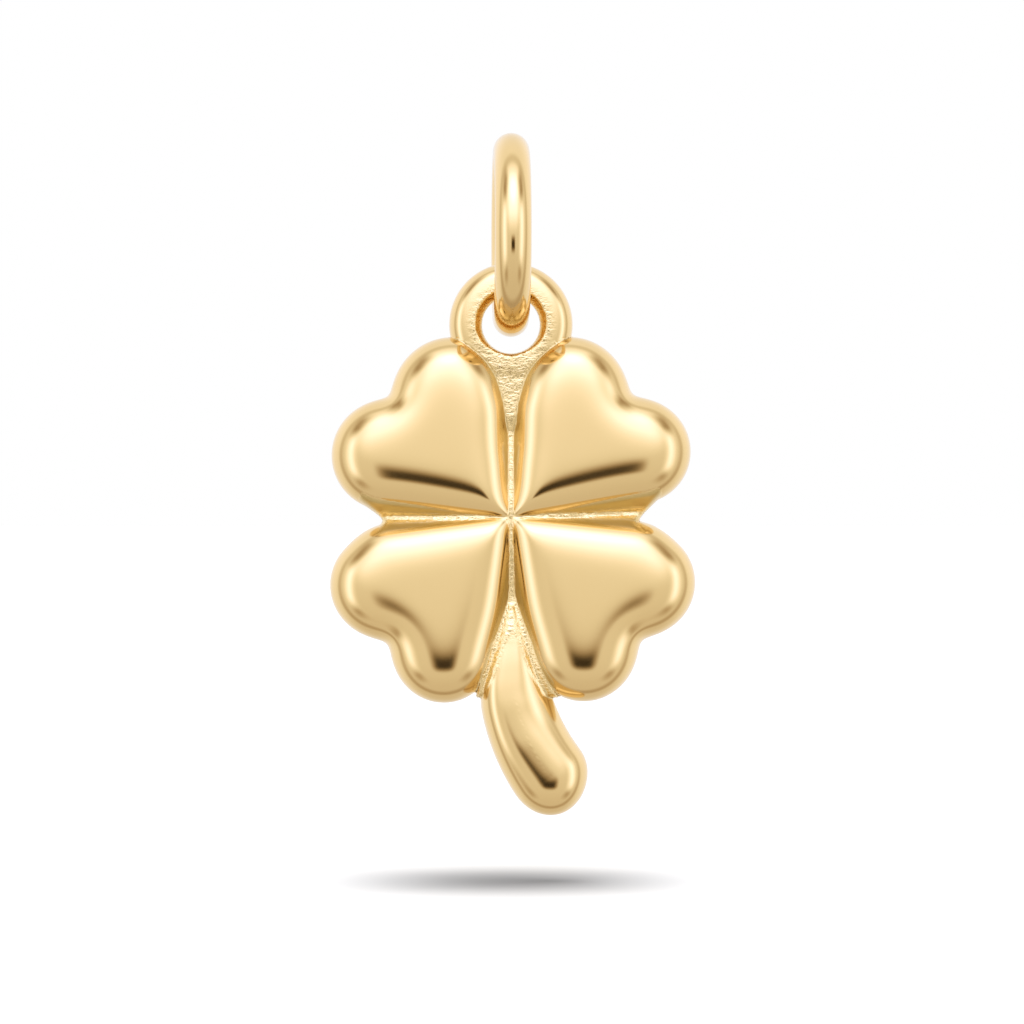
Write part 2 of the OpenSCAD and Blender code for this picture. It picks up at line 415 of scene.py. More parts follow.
@dataclass(frozen=True)
class Stem:
    """Curved stem that swells out of the web and ends in a round tip.

    Lengths in millimetres. It starts straight down at its root, bends to the right with the
    radius bend_r, and its stations are distances along it from the root.
    """

    root: float = 2.5
    bend_at: float = 3.83
    bend_r: float = 5.71
    free_from: float = 1.0
    start_slope: float = 0.3
    fullness: float = 2.7
    stations: tuple[float, ...] = (0.0, 0.6, 1.1, 1.48, 2.1, 2.62, 3.76, 4.9)
    half_widths: tuple[float, ...] = (0.15, 0.38, 0.58, 0.72, 0.91, 1.002, 1.06, 1.108)
    heights: tuple[float, ...] = (0.52, 0.65, 0.74, 0.8, 0.87, 0.91, 0.925, 0.91)
    # How many steps the stations are read in, and over how many of them they are smoothed
    samples: int = 400
    smoothing: int = 30
    # How far its crest lies to the left, as a share of its half width, and where that ends
    lean: float = 0.22
    lean_from: tuple[float, float] = (1.0, 2.6)
    lean_ends: tuple[float, float] = (2.9, 4.9)
    tip_ease: float = 0.3
    # Half widths from its middle line past which its height falls no further
    far_share: float = 3.0

    def curve(self, at: Array, values: tuple[float, ...]) -> Array:
        """Read values that are given at the stations on a smooth curve.

        Args:
            at: Distances from the root.
            values: The values at the stations.

        Returns:
            The value at each distance.
        """
        fine = np.linspace(self.stations[0], self.stations[-1], self.samples)
        straight = np.interp(fine, self.stations, values)
        window = np.hanning(2 * self.smoothing + 1)
        padded = np.pad(straight, self.smoothing, mode="reflect", reflect_type="odd")
        return np.interp(at, fine, np.convolve(padded, window / window.sum(), mode="valid"))

    def place(self, u: Array, v: Array) -> tuple[Array, Array, Array]:
        """Find where places lie on the stem.

        Args:
            u: Places to the right of the clover's middle.
            v: Places above it.

        Returns:
            Each place's way along the stem, its way to the right of the middle line, and the
            stem's half width there.
        """
        straight = self.bend_at - self.root
        dx, dy = u - self.bend_r, v + self.bend_at
        bent = (v < -self.bend_at) & (u < self.bend_r)
        along = np.where(bent, straight + self.bend_r * np.arctan2(-dy, -dx), -self.root - v)
        across = np.where(bent, self.bend_r - np.hypot(dx, dy), u)
        past = along - self.stations[-1]
        past = 0.5 * (past + np.hypot(past, self.tip_ease))
        half_w = self.curve(along, self.half_widths)
        return along, np.copysign(np.hypot(across, past), across), half_w

    def inset(self, u: Array, v: Array) -> Array:
        """Measure how far places lie outside the stem's free part.

        Args:
            u: Places to the right of the clover's middle.
            v: Places above it.

        Returns:
            The distance as a negative number, and 0 inside.
        """
        along, across, half_w = self.place(u, v)
        start = self.start_slope * (along - self.free_from)
        return np.minimum(np.minimum(half_w - np.abs(across), start), 0.0)

    def relief(self, u: Array, v: Array) -> Array:
        """Give the stem's squared height, negative outside it.

        Args:
            u: Places to the right of the clover's middle.
            v: Places above it.

        Returns:
            The squared height at each place.
        """
        along, across, half_w = self.place(u, v)
        height = self.curve(along, self.heights)
        lean = (self.lean * smooth_step(*self.lean_from, along)
                * smooth_step(*self.lean_ends[::-1], along))
        share = np.clip(across / half_w, -self.far_share, self.far_share)
        share = share + lean * np.maximum(1.0 - share * share, 0.0)
        off = np.abs(share) ** self.fullness
        start = np.minimum(along, 0.0)
        return np.maximum(height**2 * (1.0 - off) + start, FAR_BELOW)


@dataclass(frozen=True)
class Eyelet:
    """Cast eyelet: a rounded disc with a hole that the jump ring passes through."""

    outer_r: float = 1.715
    hole_r: float = 0.8
    rise: float = 0.598
    edge: float = 0.6
    fullness: float = 2.6
    # The hole's rounded mouth is wide above and narrow below, and further out it sets no limit
    mouth: float = 0.3
    low_mouth: float = 0.1
    low_from: tuple[float, float] = (0.1, 0.95)
    least_r: float = 0.1
    mouth_fullness: float = 2.2
    free_gap: float = 0.1
    free_rise: float = 8.0

    def disc(self, u: Array, v: Array) -> Array:
        """Give the disc's squared height without its hole."""
        share = (self.outer_r - np.hypot(u, v - HOLE_HEIGHT)) / self.edge
        return self.rise**2 * (1.0 - (1.0 - np.clip(share, LEAST_SHARE, 1.0)) ** self.fullness)

    def bore(self, u: Array, v: Array) -> Array:
        """Give the limit that the hole and its rounded mouth set on the squared height.

        Args:
            u: Places to the right of the clover's middle.
            v: Places above it.

        Returns:
            The highest squared height at each place, negative in the hole.
        """
        radius = np.hypot(u, v - HOLE_HEIGHT)
        low = smooth_step(*self.low_from, (HOLE_HEIGHT - v) / np.maximum(radius, self.least_r))
        width = self.mouth + (self.low_mouth - self.mouth) * low
        gap = radius - self.hole_r
        share = np.clip(gap / width, -1.0, 1.0)
        return (self.rise**2 * (1.0 - (1.0 - share) ** self.mouth_fullness)
                + self.free_rise * np.maximum(gap - self.free_gap, 0.0) ** 2)


LEAVES = (
    HeartLeaf(angle=45.64, split=19.04, softness=9.4, reach=(3.980, 3.737),
              lobe_r=(1.428, 1.600), bulges=(UPPER_SIDE, UPPER_VALLEY)),
    HeartLeaf(angle=134.98, split=19.07, softness=7.4, reach=(3.694, 3.849),
              lobe_r=(1.653, 1.517), bulges=(UPPER_VALLEY, UPPER_SIDE)),
    HeartLeaf(angle=225.85, split=18.40, softness=12.3, reach=(4.045, 4.202),
              lobe_r=(1.42, 1.378), bulges=(LOWER_SIDE, LOWER_VALLEY), edge_width=2.0),
    HeartLeaf(angle=316.12, split=17.74, softness=10.5, reach=(4.187, 4.092),
              lobe_r=(1.445, 1.436), bulges=(LOWER_VALLEY, LOWER_SIDE), edge_width=2.0),
)


@dataclass(frozen=True)
class Layers:
    """The casting's forms at the points of a grid, before they are joined.

    Inset is measured in the nearest leaf or stem, off_middle from the groove's middle line, and
    inside in the web. The floor, domes, stalk and disc are squared heights.
    """

    u: Array
    v: Array
    inset: Array
    off_middle: Array
    inside: Array
    floor: Array
    bed: Array
    domes: Array
    stalk: Array
    disc: Array


@dataclass(frozen=True)
class Unpolished:
    """Where the polishing wheel doesn't reach: cast grain in the hollows, and rougher walls that
    also get painted shade.

    Each pair gives the values of a measure between which a mark fades in. Lengths in
    millimetres, from the clover's middle or on the surface.
    """

    # Low ground: how far the domes' squared height stays under it
    under_domes: tuple[float, float] = (-0.02, -0.12)
    # The neck with the eyelet's mouth
    neck_starts: tuple[float, float] = (2.3, 3.0)
    neck_ends: tuple[float, float] = (4.9, 4.3)
    mouth_radii: tuple[float, float] = (1.32, 0.95)
    # The bed above the stem, where the relief is low
    bed_starts: tuple[float, float] = (-0.9, -1.3)
    bed_ends: tuple[float, float] = (-5.15, -4.9)
    bed_reliefs: tuple[float, float] = (0.74, 0.6)
    # The strand along each groove's middle, which is wider towards the sides
    strand_width: float = 0.1
    strand_widening: float = 0.12
    strand_widens: tuple[float, float] = (1.0, 3.6)
    strand_edge: tuple[float, float] = (1.0, 0.4)
    strand_depths: tuple[float, float] = (0.25, 0.15)
    strand_outside: tuple[float, float] = (-0.6, -0.45)
    # The walls of the grooves and of the neck, rougher and painted darker as shade
    wall_over_domes: tuple[float, float] = (0.03, -0.03)
    wall_inside_web: tuple[float, float] = (-0.1, 0.2)
    wall_beside_stem: tuple[float, float] = (0.25, 0.12)
    wall_ends: tuple[float, float] = (5.0, 4.7)
    neck_wall_depths: tuple[float, float] = (0.33, 0.28)
    neck_wall_heights: tuple[float, float] = (1.8, 3.0)

    def grain(self, on: Layers, height: Array) -> Array:
        """Mark where the cast grain shows.

        Args:
            on: The casting's forms.
            height: The height of the joined relief.

        Returns:
            The grain's strength from 0 to 1.
        """
        low_ground = smooth_step(*self.under_domes, on.domes - np.maximum(on.floor, on.disc))
        width = self.strand_width + self.strand_widening * smooth_step(
            *self.strand_widens, np.abs(on.u))
        strand = (smooth_step(*self.strand_edge, on.off_middle / width)
                  * smooth_step(*self.strand_depths, on.inset))
        strand *= smooth_step(*self.strand_outside, on.inset)
        around = np.hypot(on.u, on.v - HOLE_HEIGHT)
        flat = np.maximum(smooth_step(*self.mouth_radii, around),
                          smooth_step(*self.neck_ends, on.v))
        neck = smooth_step(*self.neck_starts, on.v) * flat
        bed = (smooth_step(*self.bed_reliefs, height) * smooth_step(*self.bed_starts, on.v)
               * on.bed)
        bed *= smooth_step(*self.bed_ends, on.v)
        return np.clip(low_ground * np.maximum(neck, bed) + strand, 0.0, 1.0)

    def wall(self, on: Layers, grain: Array) -> Array:
        """Mark the walls of the grooves and of the neck, for their rougher finish and their
        painted shade.

        Args:
            on: The casting's forms.
            grain: The grain's strength, which takes the wall's place.

        Returns:
            The walls' strength from 0 to 1.
        """
        neck_side = (smooth_step(*self.neck_wall_depths, on.inset)
                     * smooth_step(*self.neck_wall_heights, on.v))
        groove = np.maximum(smooth_step(*self.wall_over_domes, on.domes - on.floor), neck_side)
        groove *= (smooth_step(*self.wall_inside_web, on.inside)
                   * smooth_step(*self.wall_beside_stem, on.stalk))
        return groove * smooth_step(*self.wall_ends, on.v) * (1.0 - grain)


@dataclass
class ReliefMap:
    """Squared heights and both marks' strength on a fine grid, read with cubic curves."""

    low: tuple[float, float] = (-5.4, -8.7)
    high: tuple[float, float] = (5.4, 7.4)
    step: float = 0.04
    # Fillets between the domes, and from what is joined so far to each next form
    dome_fillet: float = 0.1
    stem_fillet: float = 0.12
    eyelet_fillet: float = 0.08
    foot_fillet: float = 0.04
    mouth_fillet: float = 0.04
    marks: Unpolished = Unpolished()
    heights: Array = field(init=False)
    grain: Array = field(init=False)
    wall: Array = field(init=False)

    def fill(self, leaves: Sequence[HeartLeaf], web: Web, stem: Stem, eyelet: Eyelet) -> None:
        """Work out the whole casting's relief.

        Args:
            leaves: The four heart leaves.
            web: The web and neck.
            stem: The stem.
            eyelet: The eyelet.
        """
        u, v = np.meshgrid(np.arange(self.low[0], self.high[0], self.step),
                           np.arange(self.low[1], self.high[1], self.step), indexing="ij")
        insets = [leaf.inset(u, v) for leaf in leaves]
        sides = [inset - web.lower_sink * (leaf.angle > 180.0)
                 for leaf, inset in zip(leaves, insets)]
        second, first = np.sort(np.stack(sides + [stem.inset(u, v)]), axis=0)[-2:]
        off_middle = (first - second) / 2.0
        floor, bed = web.relief(u, v, first, off_middle)
        domes = np.full(u.shape, FAR_BELOW)
        for leaf, inset in zip(leaves, insets):
            domes = smooth_max(domes, leaf.relief(u, v, inset), self.dome_fillet)
        stalk = stem.relief(u, v)
        disc = eyelet.disc(u, v)
        total = smooth_max(floor, stalk, self.stem_fillet)
        total = smooth_max(total, disc, self.eyelet_fillet)
        total = smooth_max(total, domes, self.foot_fillet)
        self.heights = smooth_min(total, eyelet.bore(u, v), self.mouth_fillet)
        layers = Layers(u, v, first, off_middle, web.inside(u, v), floor, bed, domes, stalk, disc)
        self.grain = self.marks.grain(layers, np.sqrt(np.maximum(self.heights, 0.0)))
        # The walls' mark gives them a rougher finish and painted shade
        self.wall = self.marks.wall(layers, self.grain)

    def read(self, table: Array, u: Array, v: Array) -> tuple[Array, Array, Array]:
        """Read a table between its points.

        Args:
            table: One of the map's tables.
            u: Places to the right of the clover's middle.
            v: Places above it.

        Returns:
            The value and its slopes along u and v.
        """
        x = (u - self.low[0]) / self.step
        y = (v - self.low[1]) / self.step
        i = np.clip(x.astype(int), 1, table.shape[0] - 3)
        j = np.clip(y.astype(int), 1, table.shape[1] - 3)
        weights_x, slopes_x = self.cubic(x - i)
        weights_y, slopes_y = self.cubic(y - j)
        value, slope_u, slope_v = (np.zeros(u.shape) for _ in range(3))
        for a in range(4):
            for b in range(4):
                sample = table[i + a - 1, j + b - 1]
                value += sample * weights_x[a] * weights_y[b]
                slope_u += sample * slopes_x[a] * weights_y[b]
                slope_v += sample * weights_x[a] * slopes_y[b]
        return value, slope_u / self.step, slope_v / self.step

    @staticmethod
    def cubic(t: Array) -> tuple[list[Array], list[Array]]:
        """Weigh four points of a cubic curve that runs through them.

        Args:
            t: Places from 0 to 1 between the second point and the third.

        Returns:
            The points' weights, and the slopes of those weights.
        """
        t2, t3 = t * t, t * t * t
        weights = [(-t3 + 2 * t2 - t) / 2, (3 * t3 - 5 * t2 + 2) / 2,
                   (-3 * t3 + 4 * t2 + t) / 2, (t3 - t2) / 2]
        slopes = [(-3 * t2 + 4 * t - 1) / 2, (9 * t2 - 10 * t) / 2,
                  (-9 * t2 + 8 * t + 1) / 2, (3 * t2 - 2 * t) / 2]
        return weights, slopes


# The skin over the relief


@dataclass
class ReliefSkin:
    """Closed skin over a relief map: domed in front (-Y), gently cushioned behind."""

    relief: ReliefMap
    back: float = 0.645
    back_ease: float = 0.15
    # Squared height of the front below which the back changes no further
    lowest: float = -0.3
    # The net's cells, how far they reach front to back, and how far they stop inside the map
    cell: float = 0.056
    depth: tuple[float, float] = (-1.22, 0.73)
    margin: float = 0.1
    # Steps that bring its points onto the skin, rounds that even them out, steps in each of
    # those, and the least squared slope that a step reckons with
    settle_steps: int = 4
    relax_rounds: int = 3
    relax_steps: int = 2
    least_square: float = 0.05
    # Depth over which the marks of the front fade out across the rim
    marks_fade: float = 0.3

    def cushion(self, g: Array) -> tuple[Array, Array]:
        """Shape the back after the front.

        Args:
            g: Squared heights of the front.

        Returns:
            The squared depth of the back, and the share by which it falls short of a flat one.
        """
        fade = np.exp(-np.maximum(g, self.lowest) / self.back_ease)
        return self.back**2 * (1.0 - fade), fade

    def surface(self, points: Array) -> tuple[Array, Array]:
        """Evaluate the skin's implicit function.

        Args:
            points: Places as (u, depth, v) in millimetres.

        Returns:
            The function, negative inside, and its gradient.
        """
        g, gu, gv = self.relief.read(self.relief.heights, points[:, 0], points[:, 2])
        behind = points[:, 1] > 0.0
        g_back, fade = self.cushion(g)
        ratio = np.where(behind, self.back**2 / self.back_ease * fade, 1.0)
        value = points[:, 1] ** 2 - np.where(behind, g_back, g)
        slope = np.stack([-gu * ratio, 2.0 * points[:, 1], -gv * ratio], axis=1)
        return value, slope

    def settle(self, points: Array, steps: int) -> Array:
        """Move points onto the skin.

        Args:
            points: Places near the skin.
            steps: How many steps to take.

        Returns:
            The moved places.
        """
        for _ in range(steps):
            value, slope = self.surface(points)
            square = np.maximum((slope**2).sum(1), self.least_square)
            step = value / square
            step = np.clip(step * np.sqrt(square), -self.cell, self.cell) / np.sqrt(square)
            points = points - slope * step[:, None]
        return points

    def grid(self) -> tuple[Array, Array]:
        """Evaluate the skin's function on a grid of cells round the casting.

        Returns:
            The grid's lowest corner, and the function at each of its points.
        """
        (low_u, low_v), (high_u, high_v) = self.relief.low, self.relief.high
        low = np.array([low_u + self.margin, self.depth[0], low_v + self.margin])
        high = np.array([high_u - self.margin, self.depth[1], high_v - self.margin])
        counts = np.ceil((high - low) / self.cell).astype(int) + 1
        axes = [low[k] + self.cell * np.arange(counts[k]) for k in range(3)]
        u, v = np.meshgrid(axes[0], axes[2], indexing="ij")
        g = self.relief.read(self.relief.heights, u.ravel(), v.ravel())[0].reshape(u.shape)
        g_back = self.cushion(g)[0]
        depth = axes[1][None, :, None]
        return low, depth**2 - np.where(depth > 0.0, g_back[:, None, :], g[:, None, :])

    def nets(self) -> tuple[Array, Array]:
        """Wrap the relief in a net of four-sided faces.

        Returns:
            The net's points and faces.
        """
        low, value = self.grid()
        inside = value < 0.0
        shape = tuple(np.array(value.shape) - 1)
        total = np.zeros(shape + (3,))
        crossings = np.zeros(shape)

        def part(table: Array, corner: Array) -> Array:
            """Take the table as seen from one corner of every cell."""
            return table[tuple(slice(int(c), int(c) + n) for c, n in zip(corner, shape))]

        for axis in range(3):
            for corner in (np.array(place) for place in np.ndindex(2, 2, 2)):
                if corner[axis]:
                    continue
                other = corner.copy()
                other[axis] = 1
                a, b = part(value, corner), part(value, other)
                cut = part(inside, corner) != part(inside, other)
                share = np.where(cut, a / np.where(cut, a - b, 1.0), 0.0)
                for k in range(3):
                    place = corner[k] + (share if k == axis else 0.0)
                    total[..., k] += np.where(cut, place, 0.0)
                crossings += cut
        used = crossings > 0
        number = np.full(shape, -1)
        number[used] = np.arange(used.sum())
        cells = np.argwhere(used)
        points = low + self.cell * (cells + total[used] / crossings[used][:, None])
        return points, self.net_faces(inside, number)

    @staticmethod
    def net_faces(inside: Array, number: Array) -> Array:
        """Join the net's points round each edge of the grid that the skin crosses.

        Args:
            inside: Which of the grid's points lie inside the skin.
            number: The number of the point in each cell, or -1.

        Returns:
            The faces, their points anticlockwise as seen from outside.
        """
        faces = []
        for axis in range(3):
            p, q = (axis + 1) % 3, (axis + 2) % 3
            near = [slice(None)] * 3
            far = [slice(None)] * 3
            near[axis], far[axis] = slice(0, -1), slice(1, None)
            for k in (p, q):
                near[k] = far[k] = slice(1, -1)
            first, second = inside[tuple(near)], inside[tuple(far)]
            at = np.argwhere(first != second)
            outward = first[tuple(at.T)]
            at[:, p] += 1
            at[:, q] += 1
            ring = []
            for dp, dq in ((0, 0), (1, 0), (1, 1), (0, 1)):
                cell = at.copy()
                cell[:, p] -= 1 - dp
                cell[:, q] -= 1 - dq
                ring.append(number[tuple(cell.T)])
            quad = np.stack(ring, axis=1)
            quad[~outward] = quad[~outward][:, ::-1]
            faces.append(quad)
        return np.concatenate(faces)

    def relax(self, points: Array, faces: Array, rounds: int) -> Array:
        """Even out the net along the skin.

        Args:
            points: The net's points.
            faces: The net's faces.
            rounds: How many times to move each point towards its neighbours' middle.

        Returns:
            The moved points, on the skin.
        """
        start, end = faces.ravel(), np.roll(faces, -1, axis=1).ravel()
        count = np.bincount(start, minlength=len(points)) + np.bincount(end, minlength=len(points))
        for _ in range(rounds):
            mean = np.stack([
                np.bincount(start, points[end, k], len(points))
                + np.bincount(end, points[start, k], len(points)) for k in range(3)], axis=1)
            points = 0.5 * points + 0.5 * mean / count[:, None]
            points = self.settle(points, self.relax_steps)
        return points

    def build(self, name: str) -> bpy.types.Object:
        """Make the skin's mesh object, in metres.

        Args:
            name: The object's name.

        Returns:
            The object, with smooth normals taken from the relief itself.
        """
        points, faces = self.nets()
        points = self.settle(points, self.settle_steps)
        points = self.relax(points, faces, self.relax_rounds)
        points = self.settle(points, self.settle_steps)
        normals = self.surface(points)[1]
        normals /= np.linalg.norm(normals, axis=1, keepdims=True)
        places = (points + [0.0, 0.0, MIDDLE_Z]) * MM
        mesh = bpy.data.meshes.new(name)
        mesh.from_pydata(places.tolist(), [], faces.tolist())
        mesh.update()
        mesh.polygons.foreach_set("use_smooth", np.ones(len(mesh.polygons), bool))
        front = np.clip(0.5 - points[:, 1] / self.marks_fade, 0.0, 1.0)
        for label, table in (("grain", self.relief.grain), ("wall", self.relief.wall)):
            values = np.clip(self.relief.read(table, points[:, 0], points[:, 2])[0], 0.0, 1.0)
            mesh.attributes.new(label, "FLOAT", "POINT").data.foreach_set(
                "value", (values * front).astype(np.float32))
        mesh.normals_split_custom_set_from_vertices(normals.tolist())
        piece = bpy.data.objects.new(name, mesh)
        bpy.context.scene.collection.objects.link(piece)
        return piece


# Shaders


class Value:
    """A shader socket that Python's operators add maths nodes to."""

    def __init__(self, sheet: "NodeSheet", socket: "bpy.types.NodeSocket | None") -> None:
        """Wrap an output socket of a sheet, or none for a node that ends it."""
        self.sheet = sheet
        self.socket = socket

    def maths(self, operation: str, *others: "Value | float") -> "Value":
        """Add a Math node.

        Args:
            operation: The node's operation.
            others: Its inputs after this value, in order.

        Returns:
            The node's result.
        """
        return self.sheet.maths(operation, self, *others)

    def __add__(self, other: "Value | float") -> "Value":
        """Add."""
        return self.maths("ADD", other)

    __radd__ = __add__

    def __sub__(self, other: "Value | float") -> "Value":
        """Subtract."""
        return self.maths("SUBTRACT", other)

    def __rsub__(self, other: float) -> "Value":
        """Subtract this value from a number."""
        return self.sheet.maths("SUBTRACT", other, self)

    def __mul__(self, other: "Value | float") -> "Value":
        """Multiply."""
        return self.maths("MULTIPLY", other)

    __rmul__ = __mul__

    def __abs__(self) -> "Value":
        """Take the size without its sign."""
        return self.maths("ABSOLUTE")

    def eased(self, low: float, high: float) -> "Value":
        """Ease from 0 at low to 1 at high.

        Args:
            low: Value where the step starts; it may lie above high.
            high: Value where the step ends.

        Returns:
            The eased value from 0 to 1.
        """
        if low > high:
            return 1.0 - self.eased(high, low)
        return self.sheet.add("ShaderNodeMapRange", {"interpolation_type": "SMOOTHSTEP"}, {
            "Value": self, "From Min": low, "From Max": high})


class NodeSheet:
    """A node tree, and the one method that adds nodes to it."""

    def __init__(self, tree: bpy.types.NodeTree) -> None:
        """Empty a tree and take it over."""
        self.tree = tree
        tree.nodes.clear()

    def add(self, kind: str, settings: Mapping[str, object] | None = None,
            sockets: Mapping[str, object] | None = None, output: int | str = 0) -> Value:
        """Add a node.

        Args:
            kind: The node's type.
            settings: Its settings, which are set before its sockets.
            sockets: Values or links of its input sockets, by name or number.
            output: Which of its outputs to return.

        Returns:
            The chosen output, or an empty value if the node has none.
        """
        node = self.tree.nodes.new(kind)
        for name, setting in (settings or {}).items():
            setattr(node, name, setting)
        for name, given in (sockets or {}).items():
            socket = node.inputs[int(name) if name.isdigit() else name]
            if isinstance(given, Value):
                self.tree.links.new(given.socket, socket)
            else:
                socket.default_value = given
        if not node.outputs:
            return Value(self, None)
        return Value(self, node.outputs[output])

    def maths(self, operation: str, *terms: Value | float) -> Value:
        """Add a Math node.

        Args:
            operation: The node's operation.
            terms: Its inputs, in order.

        Returns:
            The node's result.
        """
        sockets = {str(k): term for k, term in enumerate(terms)}
        return self.add("ShaderNodeMath", {"operation": operation}, sockets)

    def mixed(self, factor: Value | float, first: object, second: object) -> Value:
        """Mix two colours by a factor from 0 to 1."""
        return self.add("ShaderNodeMix", {"data_type": "RGBA"},
                        {"0": factor, "6": first, "7": second}, output=2)

    def dot(self, vector: Value, axis: Vector) -> Value:
        """Measure a vector along an axis."""
        return self.add("ShaderNodeVectorMath", {"operation": "DOT_PRODUCT"},
                        {"0": vector, "1": tuple(axis)}, output="Value")


@dataclass(frozen=True)
class CastGold:
    """Yellow gold: mirror-polished where a wheel reaches it, fine cast grain in the hollows,
    and on the groove walls a rougher finish and a darker amber gold that is painted shade.

    Sizes in metres. The grain and the walls follow the mesh's own values of those names.
    """

    name: str
    colour: Colour = (0.87, 0.645, 0.305, 1.0)
    deep_colour: Colour = (0.85, 0.6, 0.25, 1.0)
    # Painted shade: the groove walls are painted this darker amber gold, standing in for the shade
    # in the grooves
    wall_colour: Colour = (0.69, 0.51, 0.2, 1.0)
    grain_colour: Colour = (0.95, 0.74, 0.36, 1.0)
    polish: float = 0.11
    polish_spread: float = 0.03
    wall_roughness: float = 0.26
    grain_roughness: float = 0.12
    haze_size: float = 0.0009
    haze_share: float = 0.2
    grain_share: float = 0.8
    grain_depth: float = 0.00005
    # The grain is made of round specks and of wrinkles that lie level
    speck_size: float = 0.00011
    speck_share: float = 0.45
    wrinkle_size: float = 0.00026
    wrinkle_share: float = 0.55
    wrinkle_squeeze: float = 2.4
    has_grain: bool = True

    def make(self) -> bpy.types.Material:
        """Make the material.

        Returns:
            A material, with the cast grain if it has it.
        """
        material = bpy.data.materials.new(self.name)
        material.use_nodes = True
        sheet = NodeSheet(material.node_tree)
        place = sheet.add("ShaderNodeTexCoord", output="Object")
        haze = sheet.add("ShaderNodeTexNoise", {}, {
            "Vector": place, "Scale": 1.0 / self.haze_size, "Detail": 4.0, "Roughness": 0.6})
        gold = sheet.mixed(haze * self.haze_share, self.colour, self.deep_colour)
        roughness = self.polish + self.polish_spread * (haze - 0.5)
        shader = {"Metallic": 1.0, "Base Color": gold, "Roughness": roughness}
        if self.has_grain:
            shader.update(self.hollows(sheet, place, gold, roughness))
        surface = sheet.add("ShaderNodeBsdfPrincipled", {}, shader)
        sheet.add("ShaderNodeOutputMaterial", {}, {"Surface": surface})
        return material

    def hollows(self, sheet: NodeSheet, place: Value, gold: Value,
                roughness: Value) -> dict[str, Value]:
        """Add the cast grain, and the walls' rougher finish and painted shade.

        Args:
            sheet: The material's node sheet.
            place: Places on the piece.
            gold: The polished gold's colour.
            roughness: The polished gold's roughness.

        Returns:
            The shader's inputs that they change.
        """
        grain = sheet.add("ShaderNodeAttribute", {"attribute_name": "grain"}, output="Fac")
        wall = sheet.add("ShaderNodeAttribute", {"attribute_name": "wall"}, output="Fac")
        speck = sheet.add("ShaderNodeTexNoise", {}, {
            "Vector": place, "Scale": 1.0 / self.speck_size, "Detail": 3.0, "Roughness": 0.65})
        squeezed = sheet.add("ShaderNodeMapping", {}, {
            "Vector": place, "Scale": (1.0, 1.0, self.wrinkle_squeeze)})
        wrinkle = sheet.add("ShaderNodeTexNoise", {}, {
            "Vector": squeezed, "Scale": 1.0 / self.wrinkle_size, "Detail": 2.0,
            "Roughness": 0.5, "Distortion": 0.6})
        relief = (speck * self.speck_share + wrinkle * self.wrinkle_share) * grain
        # Painted shade: the walls take the darker amber gold
        gold = sheet.mixed(wall, gold, self.wall_colour)
        return {
            "Base Color": sheet.mixed(grain * self.grain_share, gold, self.grain_colour),
            "Roughness": (roughness + grain * self.grain_roughness * speck
                          + wall * self.wall_roughness),
            "Normal": sheet.add("ShaderNodeBump", {}, {
                "Height": relief, "Distance": self.grain_depth, "Strength": 1.0})}


@dataclass(frozen=True)
class Paper:
    """Plain matt paper for the floor, with a painted shadow under the charm. Lengths in metres."""

    name: str
    # The painted shadow's colour under the charm, and the paper's own colour further out
    colour: Colour = (0.42, 0.42, 0.42, 1.0)
    outer_colour: Colour = (0.97, 0.97, 0.97, 1.0)
    shade_from: float = 0.0003
    shade_to: float = 0.006
    shade_narrowing: float = 1.4
    tooth_scale: float = 900.0
    tooth_share: float = 0.02

    def make(self) -> bpy.types.Material:
        """Make the material.

        Returns:
            A material with a faint tooth and the painted shadow.
        """
        material = bpy.data.materials.new(self.name)
        material.use_nodes = True
        sheet = NodeSheet(material.node_tree)
        place = sheet.add("ShaderNodeTexCoord", output="Object")
        tooth = sheet.add("ShaderNodeTexNoise", {}, {
            "Vector": place, "Scale": self.tooth_scale})
        flat = sheet.add("ShaderNodeVectorMath", {"operation": "MULTIPLY"}, {
            "0": place, "1": (1.0, self.shade_narrowing, 0.0)})
        off = sheet.add("ShaderNodeVectorMath", {"operation": "LENGTH"}, {"0": flat},
                        output="Value")
        # Painted shadow: darker under the charm, fading out to the outer colour, narrower front to
        # back
        away = off.eased(self.shade_from, self.shade_to) * (
            1.0 - self.tooth_share + self.tooth_share * tooth)
        surface = sheet.add("ShaderNodeBsdfPrincipled", {}, {
            "Base Color": sheet.mixed(away, self.colour, self.outer_colour),
            "Roughness": 0.95, "Specular IOR Level": 0.0})
        sheet.add("ShaderNodeOutputMaterial", {}, {"Surface": surface})
        return material


# Pieces


@dataclass
class CloverCasting:
    """The clover: four leaves, web, stem and eyelet in one casting."""

    leaves: Sequence[HeartLeaf] = LEAVES
    web: Web = field(default_factory=Web)
    stem: Stem = field(default_factory=Stem)
    eyelet: Eyelet = field(default_factory=Eyelet)
    finish: CastGold = CastGold("clover_gold_finish")

    def build(self) -> bpy.types.Object:
        """Build and dress the casting.

        Returns:
            The piece, riding on its body in place of the plain node.
        """
        relief = ReliefMap()
        relief.fill(self.leaves, self.web, self.stem, self.eyelet)
        piece = ReliefSkin(relief).build("clover_casting")
        piece.data.materials.append(self.finish.make())
        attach(piece, Body.CLOVER.value)
        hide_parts("clover")
        log.info("%s: %d points", piece.name, len(piece.data.vertices))
        return piece


